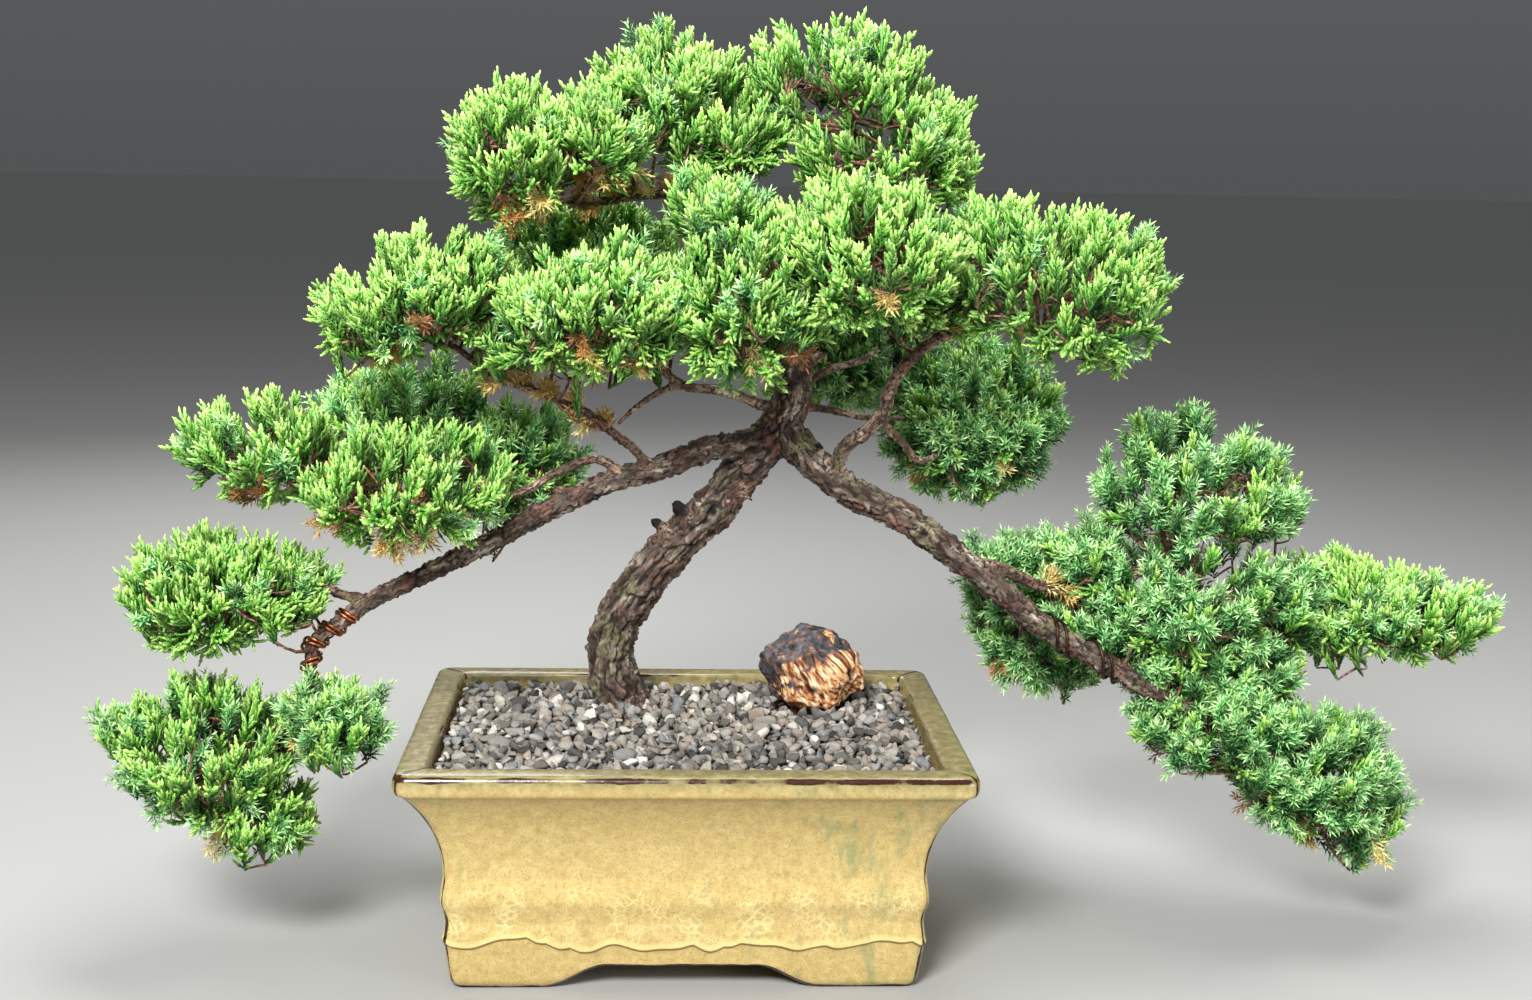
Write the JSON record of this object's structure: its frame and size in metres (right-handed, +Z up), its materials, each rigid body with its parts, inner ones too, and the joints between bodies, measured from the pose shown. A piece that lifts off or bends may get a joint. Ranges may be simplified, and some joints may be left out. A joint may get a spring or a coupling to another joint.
{
  "type": "bonsai tree in a pot",
  "caption": "Trained juniper bonsai with sweeping limbs and cloud-like foliage pads in a flared rectangular glazed pot with gravel, a stone and training wire.",
  "frame": {"origin": "centre of the object's box, on the surface that the pot's feet stand on", "axes": "+X along the pot's length and the spread of the limbs, towards the end where the foliage reaches furthest from the pot; +Y towards the back; +Z up"},
  "size_m": [0.7904, 0.3028, 0.5149],
  "materials": {
    "glazed_pot": "gloss",
    "drainage_screen": "matte",
    "staple_wire": "satin",
    "soil": "matte",
    "gravel": "matte",
    "ornamental_stone": "matte",
    "bark": "matte",
    "copper_wire": "satin",
    "dark_wire": "matte",
    "foliage": "matte"
  },
  "bodies": {
    "root": {"pot": "glazed_pot", "drainage_screen_left": "drainage_screen", "screen_staple_left": "staple_wire", "drainage_screen_right": "drainage_screen", "screen_staple_right": "staple_wire", "soil": "soil", "gravel": "gravel", "ornamental_stone": "ornamental_stone", "trunk_and_branches": "bark", "left_training_wire_1": "copper_wire", "left_training_wire_2": "copper_wire", "right_training_wire_1": "dark_wire", "right_training_wire_2": "dark_wire", "foliage_apex": "foliage", "foliage_top_middle": "foliage", "foliage_top_left": "foliage", "foliage_centre_right": "foliage", "foliage_centre": "foliage", "foliage_centre_left": "foliage", "foliage_left_upper": "foliage", "foliage_left_rear_upper": "foliage", "foliage_right": "foliage", "foliage_rear": "foliage", "foliage_right_rear": "foliage", "foliage_left_middle": "foliage", "foliage_left_rear": "foliage", "foliage_left_tip": "foliage", "foliage_left_hanging": "foliage", "foliage_left_spur": "foliage", "foliage_far_right": "foliage", "foliage_far_right_tip": "foliage", "foliage_far_right_hanging": "foliage", "foliage_right_under": "foliage"}
  },
  "joints": []
}
